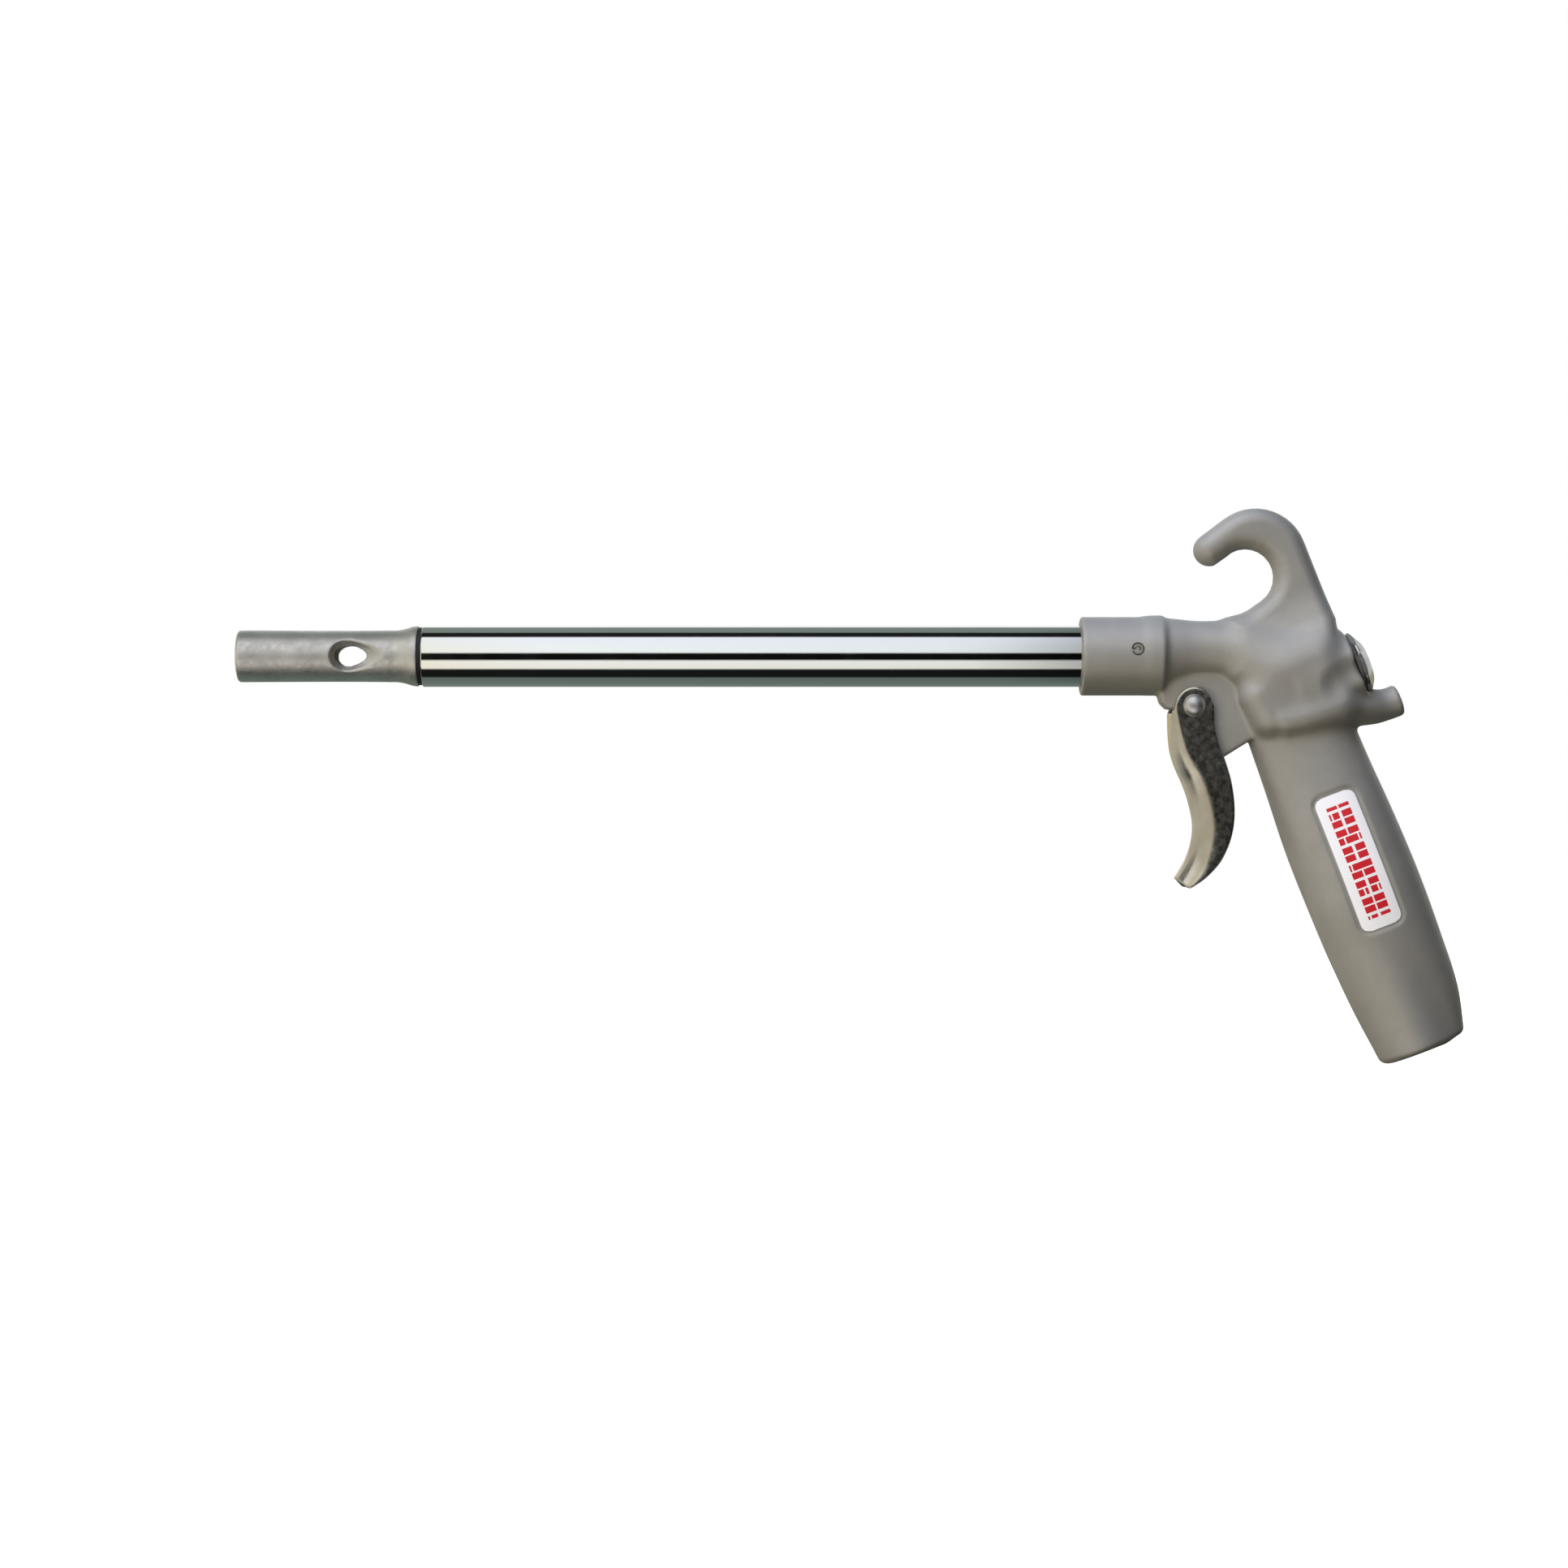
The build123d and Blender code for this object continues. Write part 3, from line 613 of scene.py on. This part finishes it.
SHEET = 1.4
STEM_ROOM = 0.2          # the front is this much thinner inside, to clear the stem's tip when pulled
CHEEK = 5.8
PIVOT = (25.8, -11.5)
FRONT_EDGE = [
    (-55, 19.2), (-51.3, 21.8), (-46.2, 24.6), (-42.8, 25.6), (-39.4, 25.9), (-34.5, 25.1), (-29.6, 23.5),
    (-26, 21.95), (-22.6, 20.9), (-18.5, 20.5), (-14.3, 20.5), (-5, 20.5),
]
REAR_EDGE = [
    (-53.4, 25.4), (-52.1, 27.4), (-50.2, 29.6), (-48.2, 31.4), (-44.6, 33.4), (-40.4, 34.7), (-36.4, 35.1),
    (-32.6, 34.9), (-28.4, 34.2), (-24.4, 33.0), (-20.4, 31.6), (-16.4, 30.6), (-12.5, 30.15),
]
BEND_SIZE = [
    (-55, 5.0), (-50, 5.4), (-44, 5.75), (-36, 5.75), (-30, 5.5), (-24, 4.6), (-19, 3.4), (-15, 2.2),
    (-12, 1.5), (-5, 1.5),
]
HEIGHTS = np.linspace(-12.5, -53.4, 50)
SIDE_VIEW = (
    [(22.4, -51.9), (19.8, -50.3), (18.0, -42.0), (17.0, -20.0), (18.5, -13.6), (20.5, -13.1)]
    + [(21.6, -12.1), (22.0, -11.5), (29.9, -11.5)]
    + list(zip(through(REAR_EDGE, HEIGHTS), HEIGHTS)) + [(24.8, -53.7), (24.0, -53.4)]
)


def rounded_front(x, y, half, bend):
    """Distance outside a form that is open at the back and rounded at the front, at x = 0."""
    u, v = bend - x, np.abs(y) - half + bend
    return np.minimum(np.maximum(u, v), 0) + np.hypot(np.maximum(u, 0), np.maximum(v, 0)) - bend


def pressing(x, y, z):
    """Distance outside the trigger: a bent front and two flat ears, cut to the side view."""
    bend = through(BEND_SIZE, z)
    lean = through(FRONT_EDGE, z + 0.5) - through(FRONT_EDGE, z - 0.5)
    behind = (x - through(FRONT_EDGE, z)) / np.sqrt(1 + lean ** 2)
    outer = rounded_front(behind, y, CHEEK, bend)
    inner = rounded_front(behind - SHEET + STEM_ROOM, y, CHEEK - SHEET, np.maximum(bend - SHEET, 0.4))
    sheet = trim(np.maximum(outer, -inner), slab(-13.3 - z, y, CHEEK - SHEET, 0.1), 0.3)
    ear = np.hypot(x - PIVOT[0], z - PIVOT[1]) - 4.3
    side = blend(ear, outline_distance(SIDE_VIEW, x, z), 1.5)
    cheeks = np.abs(np.abs(y) - CHEEK + SHEET / 2) - SHEET / 2
    blank = np.minimum(trim(sheet, -side, 0.4), trim(cheeks, -ear, 0.4))
    return trim(blank, np.hypot(x - PIVOT[0], z - PIVOT[1]) - 1.7, 0.3)


def nickel(tree, place):
    """Bright nickel, slightly yellow, over the soft 4 mm ripple of a pressing that was barrel
    finished; handling has dulled it in 8 mm patches of 1.4 mm scuffs."""
    ripple = add(tree, "ShaderNodeTexNoise", {"Vector": place, "Scale": 240, "Detail": 2})
    scuffs = add(tree, "ShaderNodeTexNoise", {"Vector": place, "Scale": 700, "Detail": 4, "Roughness": 0.6})
    patches = add(tree, "ShaderNodeTexNoise", {"Vector": place, "Scale": 120, "Detail": 4})
    colour = shades(tree, patches.outputs["Fac"], (0.35, "c9c4b6"), (0.65, "d8d5cc"))
    rough = add(
        tree, "ShaderNodeMapRange",
        {"Value": scuffs.outputs["Fac"], "From Min": 0.3, "From Max": 0.7, "To Min": 0.16, "To Max": 0.28},
    )
    bump = add(
        tree, "ShaderNodeBump", {"Height": ripple.outputs["Fac"], "Strength": 0.3, "Distance": 0.00006}
    )
    return {"Base Color": colour, "Roughness": rough.outputs["Result"], "Normal": bump.outputs["Normal"]}


nickel_finish = finish_of("bright_nickel_plate", nickel, Metallic=1.0)
cell = 0.26
trigger = make_piece("pressed_trigger", *skin(pressing, (19.5, -6.4, -55), (36.2, 6.4, -6.5), cell), sharp=40)
wear(trigger, "trigger", "trigger", nickel_finish)

# ---------------------------------------------------------------------------------------------
# Trigger rivet: a round-head steel rivet, zinc plated, through both ears and the casting's lug,
# with its far end spun over to a matching dome.

RIVET_SIDE = [
    (0, 7.36), (0.9, 7.3), (1.7, 7.05), (2.3, 6.6), (2.58, 6.15), (2.6, 5.93), (1.58, 5.9),
]


def zinc(tree, place):
    """Clear-passivated zinc: pale, cloudy in patches of 1.7 mm, with the marks of the rivet set."""
    cloud = add(tree, "ShaderNodeTexNoise", {"Vector": place, "Scale": 600, "Detail": 4})
    colour = shades(tree, cloud.outputs["Fac"], (0.35, "d2d3d4"), (0.7, "f0f0f0"))
    rough = add(
        tree, "ShaderNodeMapRange",
        {"Value": cloud.outputs["Fac"], "From Min": 0.3, "From Max": 0.7, "To Min": 0.36, "To Max": 0.5},
    )
    bump = add(
        tree, "ShaderNodeBump", {"Height": cloud.outputs["Fac"], "Strength": 0.3, "Distance": 0.00004}
    )
    return {"Base Color": colour, "Roughness": rough.outputs["Result"], "Normal": bump.outputs["Normal"]}


zinc_finish = finish_of("clear_zinc_plate", zinc, Metallic=1.0)
both_heads = [(r, -h) for r, h in RIVET_SIDE] + [(r, h) for r, h in RIVET_SIDE[::-1]]
rivet = lathe("domed_rivet", both_heads, (PIVOT[0], 0, PIVOT[1]), (0, 1, 0), segments=72, sharp=40)
wear(rivet, "trigger_rivet", "gun", zinc_finish)

# ---------------------------------------------------------------------------------------------
# Valve works: guide, seals, stem, disc, poppet, nut and coil spring inside the head. They show
# only when the gun is opened, so the CAD shapes serve, in their own metals and rubbers, except
# the spring, which is wound here from stainless wire with a dead turn at each end.

COIL_RADIUS, WIRE, COIL_FRONT, COIL_LENGTH, COIL_TRAVEL = 3.795, 0.78, -0.48, 15.36, 1.6
COIL_TURNS, COIL_STEPS, COIL_SIDES = 7, 252, 12
DEAD_TURN = WIRE + 0.03

stainless_finish = finish_of(
    "ground_stainless", turned_metal, Metallic=1.0, Base_Color=linear("b8bcc0")
)
for node in ("valve_stem", "poppet_nut"):
    finish_node(node, stainless_finish)
top = COIL_LENGTH - WIRE
points, faces = [], []
for turn in np.linspace(0, COIL_TURNS, COIL_STEPS + 1):
    rise = np.interp(turn, (0, 1, COIL_TURNS - 1, COIL_TURNS), (0, DEAD_TURN, top - DEAD_TURN, top))
    for swing in np.arange(COIL_SIDES) * 2 * pi / COIL_SIDES:
        out = COIL_RADIUS + WIRE / 2 * cos(swing)
        height = COIL_FRONT + WIRE / 2 * (1 + sin(swing)) + rise
        points.append((out * cos(2 * pi * turn), out * sin(2 * pi * turn), height))
for start in range(0, COIL_STEPS * COIL_SIDES, COIL_SIDES):
    for k in range(COIL_SIDES):
        one, two = start + k, start + (k + 1) % COIL_SIDES
        faces.append([one, one + COIL_SIDES, two + COIL_SIDES, two])
faces += [list(range(COIL_SIDES)), list(range(len(points) - 1, len(points) - 1 - COIL_SIDES, -1))]
coil = make_piece("wound_coil", placed(points, CROSSING, ALONG), faces)
wear(coil, "valve_spring", "gun", stainless_finish)
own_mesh(coil)
for node in ("stem_guide", "valve_poppet"):
    finish_node(node, brass_finish)
for node in ("guide_seal", "seat_disc"):
    finish_node(node, rubber_finish)

# ---------------------------------------------------------------------------------------------
# Valve plug: bar steel turned to a low crown on a hexagon, nickel plated, screwed into the
# head's boss down on a fibre washer. The spring sits in the pocket bored in its thread.

PLUG_FLATS, PLUG_FRONT, PLUG_BACK = 14.3, 17.1, 19.7
CROWN_PROFILE = [
    (0, 17.1), (7.5, 17.1), (7.78, 17.35), (7.78, 17.75), (4.86, 19.55), (4.5, 19.66), (0, 19.68),
]
WASHER = [(7.3, 16.32), (7.3, 17.08), (6.4, 17.08), (6.4, 16.32)]


def fibre(tree, place):
    """Pressed dark grey vulcanised fibre, with fibres about 0.7 mm long showing."""
    strands = add(
        tree, "ShaderNodeTexNoise", {"Vector": place, "Scale": 1500, "Detail": 5, "Distortion": 2.0}
    )
    colour = shades(tree, strands.outputs["Fac"], (0.3, "37332f"), (0.7, "5a5550"))
    bump = add(
        tree, "ShaderNodeBump", {"Height": strands.outputs["Fac"], "Strength": 0.4, "Distance": 0.00003}
    )
    return {"Base Color": colour, "Normal": bump.outputs["Normal"]}


plug_finish = finish_of("nickelled_plug_steel", turned_metal, Metallic=1.0, Base_Color=linear("d3d2cf"))
fibre_finish = finish_of("vulcanised_fibre", fibre, Roughness=0.8)
plug = lathe("hexagon_plug", eased(CROWN_PROFILE, 0.12, 2), CROSSING, ALONG, segments=120, sharp=25)
to_corner = PLUG_FLATS / 2 / cos(pi / 6)
flats = [(to_corner * cos(t), to_corner * sin(t)) for t in np.arange(6) * pi / 3]
prism = np.array([(x, y, h) for h in (PLUG_FRONT - 1, PLUG_BACK + 1) for x, y in flats])
prism_faces = [[5, 4, 3, 2, 1, 0], [6, 7, 8, 9, 10, 11]]
prism_faces += [[k, (k + 1) % 6, 6 + (k + 1) % 6, 6 + k] for k in range(6)]
drill(plug, placed(prism, CROSSING, ALONG), prism_faces, "INTERSECT")
wear(plug, "valve_plug", "gun", plug_finish)
washer = lathe("fibre_washer", eased(WASHER, 0.12, 3, closed=True), CROSSING, ALONG, segments=96)
wear(washer, "plug_seal", "gun", fibre_finish)

# ---------------------------------------------------------------------------------------------
# Grip label: a printed white film, gloss laminated, lying in the grip's shallow recess and
# following its curve. Its red printing is shown as plain blocks.

FILM = 0.16


def grip_surface(across, down, side=-1):
    """How far out the floor of the recess lies, on one side of the grip."""
    near, far = np.zeros(across.shape), np.full(across.shape, 12.0)
    for _ in range(24):
        middle = (near + far) / 2
        place = CROSSING[:, None] + np.outer(ALONG, across) - np.outer(UP, down)
        outside = casting(place[0], side * middle, place[2]) > 0
        near, far = np.where(outside, near, middle), np.where(outside, middle, far)
    return near


def printed_film(tree, place):
    """Off-white gloss film with a strip of red blocks down its middle."""
    print_place = add(tree, "ShaderNodeUVMap", uv_map="print").outputs["UV"]
    red, white = linear("c6242b"), linear("eceae4")
    strokes = add(
        tree, "ShaderNodeTexBrick",
        {
            "Vector": print_place, "Scale": 1.0, "Mortar Size": 0.19, "Mortar Smooth": 0.1, "Bias": 0.0,
            "Brick Width": 3.3, "Row Height": 2.07, "Color1": red, "Color2": red, "Mortar": white,
        },
        offset=0.37, offset_frequency=3, squash=1.7, squash_frequency=2,
    )
    groups = add(
        tree, "ShaderNodeTexBrick",
        {
            "Vector": print_place, "Scale": 1.0, "Mortar Size": 0.36, "Mortar Smooth": 0.1, "Bias": 0.0,
            "Brick Width": 60.0, "Row Height": 4.14, "Color1": (1, 1, 1, 1), "Color2": (1, 1, 1, 1),
            "Mortar": (0, 0, 0, 1),
        },
    )
    apart = add(tree, "ShaderNodeSeparateXYZ", {"Vector": print_place})
    inside = []
    for axis, half in (("X", 2.7), ("Y", 13.6)):
        away = add(tree, "ShaderNodeMath", {0: apart.outputs[axis]}, operation="ABSOLUTE")
        near = add(tree, "ShaderNodeMath", {0: away.outputs[0], 1: half}, operation="LESS_THAN")
        inside.append(near.outputs[0])
    strip = add(tree, "ShaderNodeMath", {0: inside[0], 1: inside[1]}, operation="MULTIPLY")
    inked = add(
        tree, "ShaderNodeMath", {0: strip.outputs[0], 1: groups.outputs["Color"]}, operation="MULTIPLY"
    )
    colour = add(
        tree, "ShaderNodeMixRGB",
        {"Fac": inked.outputs[0], "Color1": white, "Color2": strokes.outputs["Color"]},
    )
    ripple = add(tree, "ShaderNodeTexNoise", {"Vector": place, "Scale": 900, "Detail": 2})
    bump = add(
        tree, "ShaderNodeBump", {"Height": ripple.outputs["Fac"], "Strength": 0.15, "Distance": 0.00002}
    )
    return {"Base Color": colour.outputs["Color"], "Normal": bump.outputs["Normal"]}


film_finish = finish_of("printed_gloss_film", printed_film, Roughness=0.28)
across, along_label = np.meshgrid(np.linspace(-1, 1, 31), np.linspace(-1, 1, 81))
down_label = along_label * LABEL_HALF[1]
corner_run = np.maximum(np.abs(down_label) - (LABEL_HALF[1] - LABEL_CORNER), 0)
rounding = np.sqrt(LABEL_CORNER ** 2 - np.minimum(corner_run, LABEL_CORNER) ** 2)
half_width = LABEL_HALF[0] - LABEL_CORNER + rounding
print_u, print_v = (across * half_width).ravel(), down_label.ravel()
out = grip_surface(print_u, print_v + LABEL_DOWN)
flat = CROSSING + np.outer(print_u, ALONG) - np.outer(print_v + LABEL_DOWN, UP)
under, over = flat - np.outer(out + 0.01, (0, 1, 0)), flat - np.outer(out + FILM, (0, 1, 0))
rows, columns = across.shape
cell_corner = np.arange(rows * columns).reshape(rows, columns)
quads = np.stack([cell_corner[:-1, :-1], cell_corner[1:, :-1], cell_corner[1:, 1:], cell_corner[:-1, 1:]], -1)
quads = quads.reshape(-1, 4)
rim = [*cell_corner[0, :-1], *cell_corner[:-1, -1], *cell_corner[-1, :0:-1], *cell_corner[:0:-1, 0]]
above = rows * columns                            # from a point of the underside to the one over it
edge = [[a, a + above, b + above, b] for a, b in zip(rim, rim[1:] + rim[:1])]
faces = [*quads.tolist(), *(quads + above)[:, ::-1].tolist(), *edge]
film = make_piece("printed_label", np.vstack([under, over]), faces)
layer = film.data.uv_layers.new(name="print")
corners = np.zeros(len(film.data.loops), int)
film.data.loops.foreach_get("vertex_index", corners)
print_places = np.tile(np.stack([print_u, print_v], axis=1), (2, 1))
layer.data.foreach_set("uv", print_places[corners].ravel())
wear(film, "grip_label", "gun", film_finish)

# ---------------------------------------------------------------------------------------------
# Studio: a pale sweep under and behind the gun, a soft surround with the dark gaps between soft
# boxes that bright metal picks up, four soft lights for the matt surfaces, and the camera square
# to the gun's side.


def soft_box(name, place, size, power, colour="ffffff", aim=(0.0, 0.0, -0.03)):
    """A rectangular light that bright metal doesn't mirror."""
    lamp = bpy.data.lights.new(name, "AREA")
    lamp.shape, lamp.size, lamp.size_y, lamp.energy = "RECTANGLE", size[0], size[1], power
    lamp.color = linear(colour)[:3]
    held = bpy.data.objects.new(name, lamp)
    held.location = place
    held.rotation_euler = (Vector(aim) - Vector(place)).to_track_quat("-Z", "Y").to_euler()
    held.visible_glossy = False
    bpy.context.scene.collection.objects.link(held)


FLOOR_DROP = -0.13
SWEEP_BACK, SWEEP_BEND, SWEEP_TOP = 2.2, 0.8, 2.5
sweep_rows = [(-30.0, FLOOR_DROP), (SWEEP_BACK - SWEEP_BEND, FLOOR_DROP)]
sweep_rows += [
    (SWEEP_BACK - SWEEP_BEND + SWEEP_BEND * sin(t), FLOOR_DROP + SWEEP_BEND * (1 - cos(t)))
    for t in np.linspace(0.1, pi / 2, 12)
] + [(SWEEP_BACK, SWEEP_TOP)]
sweep_points = [(x * 1000, y * 1000, z * 1000) for y, z in sweep_rows for x in (-30.0, 30.0)]
sweep_faces = [[2 * k, 2 * k + 1, 2 * k + 3, 2 * k + 2] for k in range(len(sweep_rows) - 1)]
sweep = make_piece("studio_sweep", sweep_points, sweep_faces)


def paper(tree, place):
    """Matt white background paper, lit from behind so that it stays even."""
    fibres = add(tree, "ShaderNodeTexNoise", {"Vector": place, "Scale": 300, "Detail": 3})
    return {"Base Color": shades(tree, fibres.outputs["Fac"], (0.0, "7c7c7b"), (1.0, "848483"))}


paper_finish = finish_of(
    "backlit_background_paper", paper, Roughness=0.9, Emission_Color=linear("f4f4f4"), Emission_Strength=0.97
)
sweep.data.materials.append(paper_finish)
sweep.visible_glossy = sweep.visible_diffuse = False

world = bpy.data.worlds.new("studio")
bpy.context.scene.world = world
world.use_nodes = True
tree = world.node_tree
tree.nodes.clear()
toward = add(tree, "ShaderNodeSeparateXYZ", {"Vector": add(tree, "ShaderNodeTexCoord").outputs["Generated"]})
front = add(tree, "ShaderNodeMath", {0: toward.outputs["Y"], 1: -1.0}, operation="MULTIPLY")
turn = add(tree, "ShaderNodeMath", {0: toward.outputs["Z"], 1: front.outputs[0]}, operation="ARCTAN2")
share = add(
    tree, "ShaderNodeMapRange", {"Value": turn.outputs[0], "From Min": -pi, "From Max": pi}
)

# Tones round the tube's axis, by degrees up from the front: soft boxes, gaps and the room behind.
surround = [
    (-180, "b3a988"), (-172, "a39f88"), (-164, "6f7a74"), (-150, "6f7a74"), (-92, "5f6964"),
    (-86, "161817"), (-54, "161817"), (-48, "f1ece4"), (-20, "f4f2ee"), (-14, "0e0f0e"), (8, "0e0f0e"),
    (13, "f6f7f8"), (72, "f2f5ff"), (78, "1b1d1d"), (96, "1b1d1d"), (101, "77817c"), (135, "7d8783"),
    (142, "f2f3f3"), (170, "f2f3f3"), (175, "b3a988"),
]
bands = shades(tree, share.outputs["Result"], *[((angle + 180) / 360, tone) for angle, tone in surround])

# The soft boxes end beyond the grip, so the surround darkens to the right; behind it stays pale.
side = add(
    tree, "ShaderNodeMapRange", {"Value": toward.outputs["X"], "From Min": -1.0, "From Max": 1.0}
)
falloff = shades(
    tree, side.outputs["Result"],
    (0.0, "f0eee8"), (0.2, "f2efe8"), (0.28, "f0e3c0"), (0.36, "fff8ea"), (0.42, "ffffff"), (0.56, "f4f5f7"),
    (0.64, "3c3e42"), (0.73, "3c3e42"), (0.8, "5e6063"), (1.0, "505154"),
)
behind = add(tree, "ShaderNodeMapRange", {"Value": toward.outputs["Y"], "From Min": 0.1, "From Max": 0.4})
evened = add(
    tree, "ShaderNodeMixRGB",
    {"Fac": behind.outputs["Result"], "Color1": falloff, "Color2": linear("d4d6d8")},
    blend_type="LIGHTEN",
)
lit = add(
    tree, "ShaderNodeMixRGB", {"Fac": 1.0, "Color1": bands, "Color2": evened.outputs["Color"]},
    blend_type="MULTIPLY",
)

# A pale card stands level with the gun at the left, and the trigger's bend picks it up.
leftward = add(
    tree, "ShaderNodeMapRange", {"Value": toward.outputs["X"], "From Min": -0.25, "From Max": -0.45}
)
height = add(tree, "ShaderNodeMath", {0: toward.outputs["Z"]}, operation="ABSOLUTE")
level = add(tree, "ShaderNodeMapRange", {"Value": height.outputs[0], "From Min": 0.55, "From Max": 0.3})
on_card = add(
    tree, "ShaderNodeMath", {0: leftward.outputs["Result"], 1: level.outputs["Result"]}, operation="MULTIPLY"
)
carded = add(
    tree, "ShaderNodeMixRGB",
    {"Fac": on_card.outputs[0], "Color1": lit.outputs["Color"], "Color2": linear("b2ada0")},
)

# The surround lights the gun and shows in its metal; beside the sweep the eye sees plain white.
soft = add(tree, "ShaderNodeBackground", {"Color": carded.outputs["Color"], "Strength": 1.32})
plain = add(tree, "ShaderNodeBackground", {"Color": linear("fdfdfd"), "Strength": 1.0})
seen = add(tree, "ShaderNodeLightPath").outputs["Is Camera Ray"]
mixed = add(tree, "ShaderNodeMixShader", {"Fac": seen, 1: soft.outputs[0], 2: plain.outputs[0]})
add(tree, "ShaderNodeOutputWorld", {"Surface": mixed.outputs[0]})

soft_box("key_soft_box", (-0.6, -0.55, 0.9), (0.9, 0.6), 16.5, colour="ccdaff")
soft_box("top_soft_box", (-0.1, -0.1, 0.9), (0.7, 0.4), 5.0, colour="c8d6ff")
soft_box("low_fill", (-0.8, -0.75, -0.05), (0.6, 0.12), 5.5, colour="ffeedc")
soft_box("rear_soft_box", (0.5, 0.9, 0.3), (0.8, 0.6), 14.0)

scene = bpy.context.scene
scene.view_settings.view_transform = "Standard"
camera = bpy.data.objects.new("camera", bpy.data.cameras.new("camera"))
camera.data.angle = radians(25.6)
camera.location = (-0.0687, -0.8, -0.0296)
camera.rotation_euler = (pi / 2, 0, 0)
scene.collection.objects.link(camera)
scene.camera = camera
